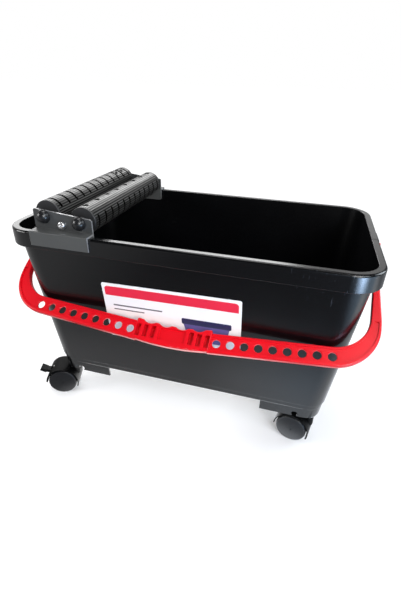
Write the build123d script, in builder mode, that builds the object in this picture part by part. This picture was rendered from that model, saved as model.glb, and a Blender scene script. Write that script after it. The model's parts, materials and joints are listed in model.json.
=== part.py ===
from build123d import *

import os
from math import acos, atan2, cos, degrees, hypot, radians, sin, sqrt, tan

os.makedirs("parts", exist_ok=True)

# A wheeled bucket for washing grout off tiles: a drafted tub, a carrying bail, a pair of wringer rollers
# that hang on the rim, and four twin-wheel casters. Millimetres, X to the right, Y to the back, Z up.

# Tub
rim_length = 510.0
rim_width = 284.0
rim_corner_radius = 42.0
rim_shelf = 10.0
rim_thickness = 3.0
rim_edge_round = 3.2
rim_inner_round = 0.8
lip_height = 24.0
lip_wall = 2.6
lip_edge_round = 0.9
tub_wall = 3.2
tub_depth = 245.5
tub_draft = 5.5
base_corner_radius = 28.0
base_band = 9.5
base_step = 1.2
wall_edge_round = 1.0
base_round = 1.6
floor_thickness = 3.5
floor_round = 12.0

# Corner feet under the tub, which hide the caster sockets
foot_drop = 18.1
foot_step = 1.4
foot_wall = 3.0
foot_length = 94.0
foot_depth = 62.0
notch_offset = 54.0
notch_radius = 4.8
notch_rise = 5.0
notch_neck = 6.6
rib_thickness = 3.0

# Casters
wheel_diameter = 48.0
wheel_width = 11.5
wheel_spacing = 16.0
wheel_edge_round = 1.8
wheel_hub_diameter = 14.0
wheel_rim_thickness = 4.0
wheel_web_thickness = 4.0
cap_diameter = 43.0
cap_seat_depth = 2.0
cap_crown = 1.4
caster_trail = 22.0
caster_inset_x = 16.0
caster_inset_y = 17.0
hood_gap = 2.2
hood_wall = 1.8
hood_stem_tip = 21.0
hood_tail_tip = 178.0
hood_side = 0.6
hood_web = 5.0
hood_hub_diameter = 18.0
hood_headroom = 2.0
pintle_boss_diameter = 15.0
pintle_diameter = 8.0
pintle_length = 17.0
flange_diameter = 18.0
flange_thickness = 2.5
stem_diameter = 11.0
stem_length = 22.0
socket_diameter = 19.0
socket_cap = 3.5
socket_pad_diameter = 18.0
wheel_axle_diameter = 6.0
heading_front_left = 200.0
heading_front_right = 168.0
heading_rear_left = 188.0
heading_rear_right = 178.0

# Foot brake on two of the casters
brake_angle = 28.0
brake_pivot_angle = 62.0
brake_pivot_radius = 15.0
brake_pin_diameter = 3.5
brake_cheek = 2.4
brake_arm_height = 6.0
brake_paddle_length = 11.0
brake_paddle_width = 13.0
brake_paddle_height = 6.5
brake_reach = 5.0
brake_slot_low = 8.0
brake_slot_span = 48.0

# Bail: a flat bow in one plane, with a row of holes on each side of a finger grip
pivot_drop = 18.0
pivot_pad_width = 29.0
pivot_pad_drop = 32.0
pivot_pad_proud = 0.4
pivot_pad_raise = 0.3
pivot_pad_inset = 1.0
pivot_pin_diameter = 7.0
pivot_pin_depth = 7.0
pivot_head_diameter = 12.0
pivot_head_thickness = 1.8
pivot_head_gap = 0.4
bail_rim_clearance = 12.2
bail_inner_arch = 18.0
bail_end_width = 25.5
bail_middle_width = 28.0
bail_arm_width = 13.5
bail_eye_width = 4.4
bail_eye_diameter = 16.0
bail_taper_start = 25.0
bail_taper_end = 113.0
bail_taper_round = 100.0
bail_inner_bend = 48.0
bail_outer_bend = 60.0
bail_front = 5.5
bail_back = 4.0
bail_outer_round = 2.8
bail_edge_round = 1.2
bail_recess = 1.6
bail_recess_lip = 3.4
bail_outer_lip = 5.4
bail_recess_end = 114.0
bail_recess_round = 3.0
bail_lip = 3.0
bail_web = 3.0
bail_pocket_round = 4.0
bail_pocket_end = 11.0
hole_diameter = 11.4
hole_round = 1.0
hole_pitch = 18.76
hole_first = 63.2
hole_count = 9
grip_length = 110.0
grip_inner_rise = 4.0
grip_inner_sag = 4.4
grip_outer_sag = 4.0
grip_end_step = 1.2
grip_front = 6.2
grip_back = 4.6
grip_overlap = 2.0
grip_edge_round = 1.8
grip_corner_round = 2.0
finger_pitch = 23.5
finger_radius = 14.0
finger_depth = 3.2
finger_count = 4
slot_width = 6.2
slot_length = 17.6
slot_depth = 8.0
slot_pitch = 11.3
slot_first = 27.5
slots_per_side = 3
slot_shift = 2.0
recess_length = 38.0
recess_depth = 3.0

# Wringer: two saddles on the rim, joined by a tie bar, carry two rollers on fixed axles
wringer_x = -160.2
saddle_length = 87.0
plate_thickness = 2.6
saddle_gap = 0.4
saddle_skirt = 17.5
plate_inset = 3.6
upright_left = 29.5
upright_right = 21.5
upright_round = 3.0
bend_round = 1.6
roller_middle_x = -161.5
roller_pitch = 53.0
roller_left_rise = 19.6
roller_right_rise = 15.1
roller_diameter = 38.0
roller_bore = 28.0
roller_edge_round = 0.8
roller_axle_diameter = 8.0
end_cap_flange = 3.0
end_cap_spigot = 12.0
spacer_diameter = 14.0
spacer_length = 6.0
groove_width = 4.2
groove_depth = 4.0
groove_pitch = 19.5
groove_count = 12
groove_span = 226.0
groove_middle_left = 142.0
groove_middle_right = -88.0
drain_hole_diameter = 8.2
drain_hole_pitch = 30.5
drain_hole_count = 8
tie_bar_diameter = 12.0
tie_bar_drop = 5.5
tie_screw_diameter = 6.0
tie_screw_length = 16.0
tie_screw_head_diameter = 11.0
tie_screw_head_height = 4.0
tie_screw_head_round = 2.4
tie_screw_recess = 2.0
dome_diameter = 19.0
dome_height = 9.5
dome_thread_depth = 6.0

# Label stuck on the front wall, a little askew
label_length = 204.0
label_height = 97.0
label_thickness = 0.3
label_round = 3.0
label_x = -10.0
label_top = 65.5
label_tilt = 1.35

# Fits
running_gap = 0.07
press_gap = 0.02
side_gap = 0.5
rest_gap = 0.5
cut_over = 1.0
pick_reach = 0.1

# Heights, from the floor up
wheel_radius = wheel_diameter / 2
hood_inner_radius = wheel_radius + hood_gap
hood_radius = hood_inner_radius + hood_wall
foot_z = wheel_radius + hood_radius + hood_headroom
under_z = foot_z + foot_drop
band_z = under_z + base_band
floor_z = under_z + floor_thickness
rim_z = under_z + tub_depth
pivot_z = rim_z - pivot_drop
socket_z = foot_z
pintle_boss_z = socket_z - flange_thickness - side_gap

# Wall of the tub: half sizes at the rim, and how they shrink on the way down
wall_slope = tan(radians(tub_draft))
wall_half_length = rim_length / 2 - rim_shelf + tub_wall
wall_half_width = rim_width / 2 - rim_shelf + tub_wall
wall_corner_radius = rim_corner_radius - rim_shelf + tub_wall


def outline(drop, inset):
    """Length, width and corner radius of the wall this far below the rim, set in from its outside."""
    shrink = drop * wall_slope + inset
    radius = wall_corner_radius + (base_corner_radius - wall_corner_radius) * drop / tub_depth
    return 2 * (wall_half_length - shrink), 2 * (wall_half_width - shrink), radius - inset


# Bail: its edges as distances from the pivot axis, at a distance x from the middle
arm_inner_x = rim_length / 2 + pivot_pad_proud + side_gap
arm_outer_x = arm_inner_x + bail_arm_width
eye_outer_x = arm_inner_x + bail_eye_width
corner_reach = hypot(rim_width / 2, pivot_drop) + bail_rim_clearance


def inner_edge(x):
    """Distance of the bail's inner edge from the pivot axis."""
    return corner_reach + bail_inner_arch * (1 - abs(x) / arm_inner_x)


def outer_edge(x):
    """Distance of the bail's outer edge from the pivot axis."""
    width = bail_middle_width + (bail_end_width - bail_middle_width) * abs(x) / arm_inner_x
    return inner_edge(x) + width


def rest_angle(depth):
    """Angle below level at which a bail of this depth behind its plane comes to lie on the wall."""
    straight_wall = wall_half_length - wall_corner_radius - pivot_drop * wall_slope
    reach = inner_edge(straight_wall)
    along = reach + wall_slope * depth
    across = wall_slope * reach - depth
    wall = wall_half_width - wall_slope * pivot_drop + label_thickness + rest_gap
    return degrees(atan2(across, along) + acos(wall / hypot(along, across)))


bail_rest = rest_angle(bail_back)
bail_sin = sin(radians(bail_rest))
bail_cos = cos(radians(bail_rest))
grip_half = grip_length / 2
grip_inner = inner_edge(0) - grip_inner_rise
grip_outer_end = outer_edge(grip_half) - grip_end_step
grip_outer = grip_outer_end + grip_outer_sag


def finger_line(x):
    """Distance from the pivot axis of the line that the grip's ridges follow."""
    return grip_inner - grip_inner_sag * (x / grip_half) ** 2


# The origin is the middle of the whole footprint, so the tub stands back by half of the bail's extra reach
saddle_half_width = rim_width / 2 + saddle_gap + plate_thickness
bail_reach = grip_outer * bail_cos + grip_front * bail_sin
tub_y = (bail_reach - saddle_half_width) / 2


def level(z):
    """Level plane at height z, centred on the tub."""
    return Plane(origin=(0, tub_y, z))


def front_view(y):
    """Upright plane at depth y, drawn in X and Z as seen from the front."""
    return Plane(origin=(0, y, 0), x_dir=(1, 0, 0), z_dir=(0, -1, 0))


def side_view(x):
    """Upright plane at x, drawn in Y and Z as seen from the right."""
    return Plane(origin=(x, 0, 0), x_dir=(0, 1, 0), z_dir=(1, 0, 0))


def bail_view(lift):
    """Plane of the bail, lifted towards its front: drawn in X and in minus the distance from the pivot."""
    plane = Plane(origin=(0, tub_y, pivot_z), x_dir=(1, 0, 0), z_dir=(0, -bail_sin, bail_cos))
    return plane.offset(lift)


# Caster places under the four corners, the way each wheel trails, and the two that have a brake
base_length, base_width = outline(tub_depth, base_step)[:2]
caster_x = base_length / 2 - caster_inset_x
caster_y = base_width / 2 - caster_inset_y
caster_places = {
    "front_left": (-caster_x, tub_y - caster_y),
    "front_right": (caster_x, tub_y - caster_y),
    "rear_left": (-caster_x, tub_y + caster_y),
    "rear_right": (caster_x, tub_y + caster_y),
}
caster_headings = {
    "front_left": heading_front_left,
    "front_right": heading_front_right,
    "rear_left": heading_rear_left,
    "rear_right": heading_rear_right,
}
braked_casters = ("front_left", "rear_right")

# Space inside the tub, with a rounded floor edge
with BuildPart() as cavity:
    with BuildSketch(level(rim_z + cut_over)):
        RectangleRounded(*outline(-cut_over, tub_wall))
    with BuildSketch(level(floor_z)):
        RectangleRounded(*outline(rim_z - floor_z, tub_wall))
    loft(ruled=True)
    fillet(cavity.faces().sort_by(Axis.Z)[0].edges(), floor_round)

# Space inside the feet
with BuildPart() as foot_space:
    with BuildSketch(level(under_z)):
        RectangleRounded(*outline(tub_depth, foot_step + foot_wall))
    with BuildSketch(level(foot_z - cut_over)):
        RectangleRounded(*outline(rim_z - foot_z + cut_over, foot_step + foot_wall))
    loft(ruled=True)

# Feet: the base outline carried on down, with the stretches between the corners left out
with BuildPart() as feet:
    with BuildSketch(level(band_z)):
        RectangleRounded(*outline(rim_z - band_z, foot_step))
    with BuildSketch(level(foot_z)):
        RectangleRounded(*outline(rim_z - foot_z, foot_step))
    loft(ruled=True)
    add(foot_space.part, mode=Mode.SUBTRACT)
    with Locations((0, tub_y, (foot_z + band_z) / 2)):
        Box(base_length - 2 * foot_length, rim_width, band_z - foot_z, mode=Mode.SUBTRACT)
        Box(rim_length, base_width - 2 * foot_depth, band_z - foot_z, mode=Mode.SUBTRACT)

# Tub
with BuildPart() as tub:
    with BuildSketch(level(rim_z)):
        RectangleRounded(*outline(0, 0))
    with BuildSketch(level(band_z)):
        RectangleRounded(*outline(rim_z - band_z, 0))
    loft(ruled=True)
    fillet(tub.faces().sort_by(Axis.Z)[0].edges(), wall_edge_round)
    with BuildSketch(level(rim_z)):
        RectangleRounded(rim_length, rim_width, rim_corner_radius)
    extrude(amount=-rim_thickness)
    with BuildSketch(level(rim_z)):
        RectangleRounded(rim_length, rim_width, rim_corner_radius)
        RectangleRounded(
            rim_length - 2 * lip_wall,
            rim_width - 2 * lip_wall,
            rim_corner_radius - lip_wall,
            mode=Mode.SUBTRACT,
        )
    extrude(amount=-lip_height)
    fillet(tub.faces().sort_by(Axis.Z)[-1].edges(), rim_edge_round)
    lip_z = rim_z - lip_height
    lip_under = tub.faces().filter_by_position(Axis.Z, lip_z - pick_reach, lip_z + pick_reach)[0]
    fillet(lip_under.outer_wire().edges(), lip_edge_round)

    # Base band, a small step in from the wall, with a rounded bottom edge
    with BuildSketch(level(band_z)):
        RectangleRounded(*outline(rim_z - band_z, base_step))
    with BuildSketch(level(under_z)):
        RectangleRounded(*outline(tub_depth, base_step))
    loft(ruled=True)
    fillet(tub.faces().sort_by(Axis.Z)[0].edges(), base_round)
    add(feet.part)

    # Keyhole notches in the long sides of the feet
    notch_x = base_length / 2 - foot_length + notch_offset
    with BuildSketch(front_view(tub_y)):
        with Locations((-notch_x, foot_z + notch_rise), (notch_x, foot_z + notch_rise)):
            Circle(notch_radius)
        with Locations((-notch_x, foot_z), (notch_x, foot_z)):
            Rectangle(notch_neck, 2 * notch_rise)
    extrude(amount=rim_width / 2, both=True, mode=Mode.SUBTRACT)

    # Sockets for the caster stems, each with a rib to the foot
    foot_half_width = outline(rim_z - foot_z, foot_step)[1] / 2 - foot_wall / 2
    for x, y in caster_places.values():
        with BuildSketch(Plane(origin=(x, y, socket_z))):
            Circle(socket_diameter / 2)
        extrude(amount=under_z - socket_z)
        wall_y = tub_y + foot_half_width * (1 if y > tub_y else -1)
        with Locations((x, (y + wall_y) / 2, (socket_z + under_z) / 2)):
            Box(rib_thickness, abs(wall_y - y), under_z - socket_z)

    # Pads in the middle of the short sides of the rim, which hold the bail's pivot pins
    pad_out = rim_length / 2 + pivot_pad_proud
    pad_in = rim_length / 2 - rim_shelf + pivot_pad_inset
    boss_in = wall_half_length - wall_slope * pivot_pad_drop - tub_wall / 2
    pad_z = rim_z + (pivot_pad_raise - pivot_pad_drop) / 2
    boss_z = rim_z - (rim_thickness + pivot_pad_drop) / 2
    for side in (-1, 1):
        with Locations((side * (pad_in + pad_out) / 2, tub_y, pad_z)):
            Box(pad_out - pad_in, pivot_pad_width, pivot_pad_drop + pivot_pad_raise)
        with Locations((side * (boss_in + pad_out) / 2, tub_y, boss_z)):
            Box(pad_out - boss_in, pivot_pad_width, pivot_pad_drop - rim_thickness)
    pad_top = rim_z + pivot_pad_raise
    pad_edges = tub.edges().filter_by_position(Axis.Z, pad_top - pick_reach, pad_top + pick_reach)
    pad_edges = pad_edges.filter_by(Axis.Y).sort_by(Axis.X)
    fillet([pad_edges[0], pad_edges[-1]], rim_edge_round)

    add(cavity.part, mode=Mode.SUBTRACT)
    mouth_reach = outline(0, tub_wall)[0] / 2 + pick_reach
    rim_edges = tub.edges().filter_by_position(Axis.Z, rim_z - pick_reach, rim_z + pick_reach)
    inner_edges = rim_edges.filter_by_position(Axis.X, -mouth_reach, mouth_reach)
    mouth_width = outline(0, tub_wall)[1] / 2 + pick_reach
    fillet(inner_edges.filter_by_position(Axis.Y, tub_y - mouth_width, tub_y + mouth_width), rim_inner_round)

    # Round pads on the floor close the sockets
    socket_top = socket_z + stem_length + socket_cap
    for x, y in caster_places.values():
        with BuildSketch(Plane(origin=(x, y, under_z))):
            Circle(socket_pad_diameter / 2)
        extrude(amount=socket_top - under_z)
        with BuildSketch(Plane(origin=(x, y, socket_z))):
            Circle(stem_diameter / 2 + press_gap)
        extrude(amount=stem_length + side_gap, mode=Mode.SUBTRACT)
    for side in (-1, 1):
        with BuildSketch(side_view(side * pad_out)):
            with Locations((tub_y, pivot_z)):
                Circle(pivot_pin_diameter / 2 + press_gap)
        extrude(amount=-side * (pivot_pin_depth + side_gap), mode=Mode.SUBTRACT)
tub.part.label = "tub"
export_step(tub.part, "parts/tub.step")

# Label, flat on the drafted front wall
label_middle_z = rim_z - label_top - label_height / 2
label_wall_y = tub_y - wall_half_width + (rim_z - label_middle_z) * wall_slope
label_plane = Plane(
    origin=(label_x, label_wall_y, label_middle_z),
    x_dir=(1, 0, 0),
    z_dir=(0, -cos(radians(tub_draft)), -sin(radians(tub_draft))),
)
with BuildPart() as front_label:
    with BuildSketch(label_plane):
        RectangleRounded(label_length, label_height, label_round, rotation=label_tilt)
    extrude(amount=label_thickness)
front_label.part.label = "front_label"
export_step(front_label.part, "parts/front_label.step")


# Finger grip in the middle of the bail
bail_normal = Axis((0, tub_y, pivot_z), (0, -bail_sin, bail_cos))
with BuildPart() as grip:
    with BuildSketch(bail_view(-grip_back)) as grip_outline:
        with BuildLine():
            ThreePointArc(
                (-grip_half, -finger_line(grip_half)),
                (0, -grip_inner),
                (grip_half, -finger_line(grip_half)),
            )
            Line((grip_half, -finger_line(grip_half)), (grip_half, -grip_outer_end))
            ThreePointArc((grip_half, -grip_outer_end), (0, -grip_outer), (-grip_half, -grip_outer_end))
            Line((-grip_half, -grip_outer_end), (-grip_half, -finger_line(grip_half)))
        make_face()
        for number in range(finger_count):
            x = (number - (finger_count - 1) / 2) * finger_pitch
            with Locations((x, finger_radius - finger_depth - finger_line(x))):
                Circle(finger_radius, mode=Mode.SUBTRACT)
        fillet(grip_outline.vertices(), grip_corner_round)
    extrude(amount=grip_back + grip_front)
    fillet(grip.faces().sort_by(bail_normal)[0].edges(), grip_edge_round)
    fillet(grip.faces().sort_by(bail_normal)[-1].edges(), grip_edge_round)


def long_edges(solid, lift, outer):
    """Edges of the bail at this lift that run along its outer or its inner side."""
    chosen = []
    for edge in solid.edges():
        spot = bail_view(lift).to_local_coords(edge @ 0.5)
        beyond_arm = abs(spot.X) > arm_inner_x + pick_reach
        below_arch = -spot.Y > inner_edge(spot.X) + bail_lip
        runs_along = abs(spot.X) > grip_half and spot.Y < -cut_over
        if abs(spot.Z) < pick_reach and runs_along and (beyond_arm or below_arch) == outer:
            chosen.append(edge)
    return chosen


# Bail
strip_start = grip_half - grip_overlap
with BuildPart() as bail:
    with BuildSketch(bail_view(-bail_back)) as strip:
        with BuildLine():
            Polyline(
                (strip_start, -inner_edge(strip_start)),
                (arm_inner_x, -inner_edge(arm_inner_x)),
                (arm_inner_x, 0),
                (eye_outer_x, 0),
                (eye_outer_x, -bail_taper_start),
                (arm_outer_x, -bail_taper_end),
                (arm_outer_x, -outer_edge(arm_outer_x)),
                (strip_start, -outer_edge(strip_start)),
                close=True,
            )
        make_face()
        mirror(about=Plane.YZ)
        for reach, arm_x, radius in (
            (inner_edge(arm_inner_x), arm_inner_x, bail_inner_bend),
            (outer_edge(arm_outer_x), arm_outer_x, bail_outer_bend),
        ):
            bends = strip.vertices().filter_by_position(Axis.Y, -reach - pick_reach, -reach + pick_reach)
            fillet([bend for bend in bends if abs(bend.X) > arm_x - pick_reach], radius)
        for reach in (bail_taper_start, bail_taper_end):
            bends = strip.vertices().filter_by_position(Axis.Y, -reach - pick_reach, -reach + pick_reach)
            fillet(bends, bail_taper_round)
    extrude(amount=bail_back + bail_front)
    fillet(long_edges(bail.part, bail_front, outer=True), bail_outer_round)
    fillet(long_edges(bail.part, bail_front, outer=False), bail_edge_round)
    fillet(long_edges(bail.part, -bail_back, outer=True), bail_edge_round)
    fillet(long_edges(bail.part, -bail_back, outer=False), bail_edge_round)

    # Shallow recess in the front, which leaves a lip along the edges and runs out in the arms
    with BuildSketch(bail_view(bail_front)) as recess:
        add(strip.sketch_local)
        with Locations((0, bail_recess_lip - bail_recess_end)):
            Rectangle(
                2 * arm_outer_x,
                bail_recess_end,
                align=(Align.CENTER, Align.MIN),
                mode=Mode.SUBTRACT,
            )
        offset(amount=-bail_recess_lip, mode=Mode.REPLACE)
        raised = Location((0, bail_outer_lip - bail_recess_lip))
        add(recess.sketch_local.moved(raised), mode=Mode.INTERSECT)
        fillet(recess.vertices().group_by(Axis.Y)[-1], bail_recess_round)
    extrude(amount=-bail_recess, mode=Mode.SUBTRACT)
    add(grip.part)

    # Sunk panels in the front of the grip
    slot_y = -(grip_inner + grip_outer) / 2 + slot_shift
    with BuildSketch(bail_view(grip_front)):
        for side in (-1, 1):
            for number in range(slots_per_side):
                with Locations((side * (slot_first + number * slot_pitch), slot_y)):
                    Rectangle(slot_width, slot_length)
    extrude(amount=-slot_depth, mode=Mode.SUBTRACT)
    with BuildSketch(bail_view(grip_front)):
        with Locations((0, slot_y)):
            Rectangle(recess_length, slot_length)
    extrude(amount=-recess_depth, mode=Mode.SUBTRACT)

    # Pockets in the back leave a thin web for the holes
    pocket_start = grip_half + bail_edge_round
    pocket_end = hole_first + (hole_count - 1) * hole_pitch + bail_pocket_end
    web_front = bail_front - bail_recess
    with BuildSketch(bail_view(-bail_back)) as pockets:
        with BuildLine():
            Polyline(
                (pocket_start, -inner_edge(pocket_start) - bail_lip),
                (pocket_end, -inner_edge(pocket_end) - bail_lip),
                (pocket_end, -outer_edge(pocket_end) + bail_lip),
                (pocket_start, -outer_edge(pocket_start) + bail_lip),
                close=True,
            )
        make_face()
        fillet(pockets.vertices().group_by(Axis.X)[-1], bail_pocket_round)
        mirror(about=Plane.YZ)
    extrude(amount=web_front - bail_web + bail_back, mode=Mode.SUBTRACT)
    with BuildSketch(bail_view(0)):
        for number in range(hole_count):
            x = hole_first + number * hole_pitch
            y = -(inner_edge(x) + outer_edge(x)) / 2
            with Locations((-x, y), (x, y)):
                Circle(hole_diameter / 2)
    extrude(amount=bail_front + bail_back, both=True, mode=Mode.SUBTRACT)
    hole_edges = [
        edge
        for edge in bail.edges().filter_by(GeomType.CIRCLE)
        if abs(edge.radius - hole_diameter / 2) < pick_reach
        and abs(bail_view(web_front).to_local_coords(edge.arc_center).Z) < pick_reach
    ]
    fillet(hole_edges, hole_round)

    # Eyes on the ends of the arms, each with a seat for the head of its pin
    for side in (-1, 1):
        with BuildSketch(side_view(side * arm_inner_x)):
            with Locations((tub_y, pivot_z)):
                Circle(bail_eye_diameter / 2)
        extrude(amount=side * bail_eye_width)
        with BuildSketch(side_view(side * arm_inner_x)):
            with Locations((tub_y, pivot_z)):
                Circle(pivot_pin_diameter / 2 + running_gap)
        extrude(amount=side * bail_eye_width, mode=Mode.SUBTRACT)
        with BuildSketch(side_view(side * eye_outer_x)):
            with Locations((tub_y, pivot_z)):
                Circle(pivot_head_diameter / 2 + pivot_head_gap)
        extrude(amount=-side * (pivot_head_thickness + pivot_head_gap), mode=Mode.SUBTRACT)
bail.part.label = "bail_handle"
export_step(bail.part, "parts/bail_handle.step")

# Pivot pins of the bail, with a head sunk into the arm's eye
for side, name in ((-1, "bail_pivot_pin_left"), (1, "bail_pivot_pin_right")):
    head_x = eye_outer_x - pivot_head_thickness
    with BuildPart() as pivot_pin:
        with BuildSketch(side_view(side * (pad_out - pivot_pin_depth))):
            with Locations((tub_y, pivot_z)):
                Circle(pivot_pin_diameter / 2)
        extrude(amount=side * (head_x - pad_out + pivot_pin_depth))
        with BuildSketch(side_view(side * head_x)):
            with Locations((tub_y, pivot_z)):
                Circle(pivot_head_diameter / 2)
        extrude(amount=side * pivot_head_thickness)
        head_face = pivot_pin.faces().sort_by(Axis.X)[-1 if side > 0 else 0]
        fillet(head_face.edges(), pivot_head_thickness / 2)
    pivot_pin.part.label = name
    export_step(pivot_pin.part, f"parts/{name}.step")

# Wringer saddles: a plate that stands inside the rim, a ledge over it and a skirt outside it
plate_y = rim_width / 2 - rim_shelf - plate_inset
roller_left_x = roller_middle_x - roller_pitch / 2
roller_right_x = roller_middle_x + roller_pitch / 2
roller_left_z = rim_z + roller_left_rise
roller_right_z = rim_z + roller_right_rise
tie_bar_z = (roller_left_z + roller_right_z) / 2 - roller_diameter / 2 + tie_bar_diameter / 2 + tie_bar_drop
roller_axles = {"left": (roller_left_x, roller_left_z), "right": (roller_right_x, roller_right_z)}
saddle_left = wringer_x - saddle_length / 2
saddle_right = wringer_x + saddle_length / 2
for side, name in ((-1, "wringer_bracket_front"), (1, "wringer_bracket_rear")):
    with BuildPart() as saddle:
        with BuildSketch(front_view(tub_y + side * plate_y)) as upright:
            with BuildLine():
                Polyline(
                    (saddle_left, rim_z - saddle_skirt),
                    (saddle_right, rim_z - saddle_skirt),
                    (saddle_right, rim_z + upright_right),
                    (saddle_left, rim_z + upright_left),
                    close=True,
                )
            make_face()
            fillet(upright.vertices(), upright_round)
            for x, z in roller_axles.values():
                with Locations((x, z)):
                    Circle(roller_axle_diameter / 2 + press_gap, mode=Mode.SUBTRACT)
            with Locations((roller_middle_x, tie_bar_z)):
                Circle(tie_screw_diameter / 2 + press_gap, mode=Mode.SUBTRACT)
        extrude(amount=side * plate_thickness)
        ledge_depth = saddle_half_width - plate_y
        with Locations(
            (wringer_x, tub_y + side * (plate_y + saddle_half_width) / 2, rim_z + plate_thickness / 2)
        ):
            Box(saddle_length, ledge_depth, plate_thickness)
        skirt_y = tub_y + side * (saddle_half_width - plate_thickness / 2)
        with Locations((wringer_x, skirt_y, rim_z - (saddle_skirt - plate_thickness) / 2)):
            Box(saddle_length, plate_thickness, saddle_skirt + plate_thickness)
        ledge_z = rim_z + plate_thickness
        long_edges = saddle.edges().filter_by(Axis.X)
        ledge_edges = long_edges.filter_by_position(Axis.Z, ledge_z - pick_reach, ledge_z + pick_reach)
        fillet(ledge_edges.sort_by(Axis.Y)[0 if side < 0 else -1], bend_round)
    saddle.part.label = name
    export_step(saddle.part, f"parts/{name}.step")

# Tie bar between the saddles, drilled at both ends for its screws
plate_inner_y = plate_y - plate_thickness
with BuildPart() as tie_bar:
    with BuildSketch(front_view(tub_y)):
        with Locations((roller_middle_x, tie_bar_z)):
            Circle(tie_bar_diameter / 2)
    extrude(amount=plate_inner_y, both=True)
    for side in (-1, 1):
        with BuildSketch(front_view(tub_y + side * plate_inner_y)):
            with Locations((roller_middle_x, tie_bar_z)):
                Circle(tie_screw_diameter / 2 + press_gap)
        extrude(amount=side * (tie_screw_length - plate_thickness + side_gap), mode=Mode.SUBTRACT)
tie_bar.part.label = "wringer_tie_bar"
export_step(tie_bar.part, "parts/wringer_tie_bar.step")

# Cross-head screws that hold the tie bar
with BuildPart() as tie_screws:
    for side in (-1, 1):
        seat = front_view(tub_y + side * plate_y)
        with BuildSketch(seat):
            with Locations((roller_middle_x, tie_bar_z)):
                Circle(tie_screw_head_diameter / 2)
        extrude(amount=-side * tie_screw_head_height)
        heads = tie_screws.faces().sort_by(Axis.Y)
        fillet(heads[0 if side < 0 else -1].edges(), tie_screw_head_round)
        with BuildSketch(seat):
            with Locations((roller_middle_x, tie_bar_z)):
                Circle(tie_screw_diameter / 2)
        extrude(amount=side * tie_screw_length)
        with BuildSketch(front_view(tub_y + side * (plate_y + tie_screw_head_height))):
            with Locations((roller_middle_x, tie_bar_z)):
                Rectangle(tie_screw_head_diameter / 2, tie_screw_recess / 2)
                Rectangle(tie_screw_recess / 2, tie_screw_head_diameter / 2)
        extrude(amount=side * tie_screw_recess, mode=Mode.SUBTRACT)
tie_screws.part.label = "tie_bar_screws"
export_step(tie_screws.part, "parts/tie_bar_screws.step")

# Rollers: tubes with cross grooves round most of their girth and a row of drain holes in the plain band
roller_half = plate_inner_y - spacer_length - 2 * side_gap
tube_half = roller_half - end_cap_flange
groove_middles = {"left": groove_middle_left, "right": groove_middle_right}
groove_start = -groove_span / 2
groove_floor = roller_diameter / 2 - groove_depth
for name, (x, z) in roller_axles.items():
    groove_middle = radians(groove_middles[name])
    grooved_way = Vector(cos(groove_middle), 0, sin(groove_middle))
    cross_section = Plane(origin=(x, tub_y, z), x_dir=grooved_way, z_dir=(0, -1, 0))
    with BuildPart() as roller:
        with BuildSketch(cross_section):
            Circle(roller_diameter / 2)
            Circle(roller_bore / 2, mode=Mode.SUBTRACT)
        extrude(amount=tube_half, both=True)
        for number in range(groove_count):
            with BuildSketch(cross_section.offset((number - (groove_count - 1) / 2) * groove_pitch)):
                with BuildLine():
                    floor_arc = CenterArc((0, 0), groove_floor, groove_start, groove_span)
                    top_arc = CenterArc((0, 0), roller_diameter / 2 + cut_over, groove_start, groove_span)
                    Line(floor_arc @ 0, top_arc @ 0)
                    Line(floor_arc @ 1, top_arc @ 1)
                make_face()
            extrude(amount=groove_width / 2, both=True, mode=Mode.SUBTRACT)
        drain_plane = Plane(origin=(x, tub_y, z), x_dir=(0, 1, 0), z_dir=-grooved_way)
        with BuildSketch(drain_plane):
            with GridLocations(drain_hole_pitch, 0, drain_hole_count, 1):
                Circle(drain_hole_diameter / 2)
        extrude(amount=roller_diameter, mode=Mode.SUBTRACT)
    roller.part.label = f"wringer_roller_{name}"
    export_step(roller.part, f"parts/wringer_roller_{name}.step")

    # End caps run on the axle
    with BuildPart() as end_caps:
        for side in (-1, 1):
            with BuildSketch(front_view(tub_y + side * tube_half)):
                with Locations((x, z)):
                    Circle(roller_diameter / 2)
            extrude(amount=-side * end_cap_flange)
            rims = end_caps.faces().sort_by(Axis.Y)
            fillet(rims[0 if side < 0 else -1].edges(), roller_edge_round)
            with BuildSketch(front_view(tub_y + side * tube_half)):
                with Locations((x, z)):
                    Circle(roller_bore / 2 - press_gap)
            extrude(amount=side * end_cap_spigot)
        with BuildSketch(front_view(tub_y)):
            with Locations((x, z)):
                Circle(roller_axle_diameter / 2 + running_gap)
        extrude(amount=roller_half, both=True, mode=Mode.SUBTRACT)
    end_caps.part.label = f"roller_{name}_end_caps"
    export_step(end_caps.part, f"parts/roller_{name}_end_caps.step")

    # Axle, fixed in the two saddles
    with BuildPart() as roller_axle:
        with BuildSketch(front_view(tub_y)):
            with Locations((x, z)):
                Circle(roller_axle_diameter / 2)
        extrude(amount=plate_y + dome_thread_depth, both=True)
    roller_axle.part.label = f"roller_{name}_axle"
    export_step(roller_axle.part, f"parts/roller_{name}_axle.step")

# Spacers between the saddles and the rollers
with BuildPart() as spacers:
    for x, z in roller_axles.values():
        for side in (-1, 1):
            with BuildSketch(front_view(tub_y + side * plate_inner_y)):
                with Locations((x, z)):
                    Circle(spacer_diameter / 2)
                    Circle(roller_axle_diameter / 2 + press_gap, mode=Mode.SUBTRACT)
            extrude(amount=side * spacer_length)
spacers.part.label = "roller_spacers"
export_step(spacers.part, "parts/roller_spacers.step")

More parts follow.
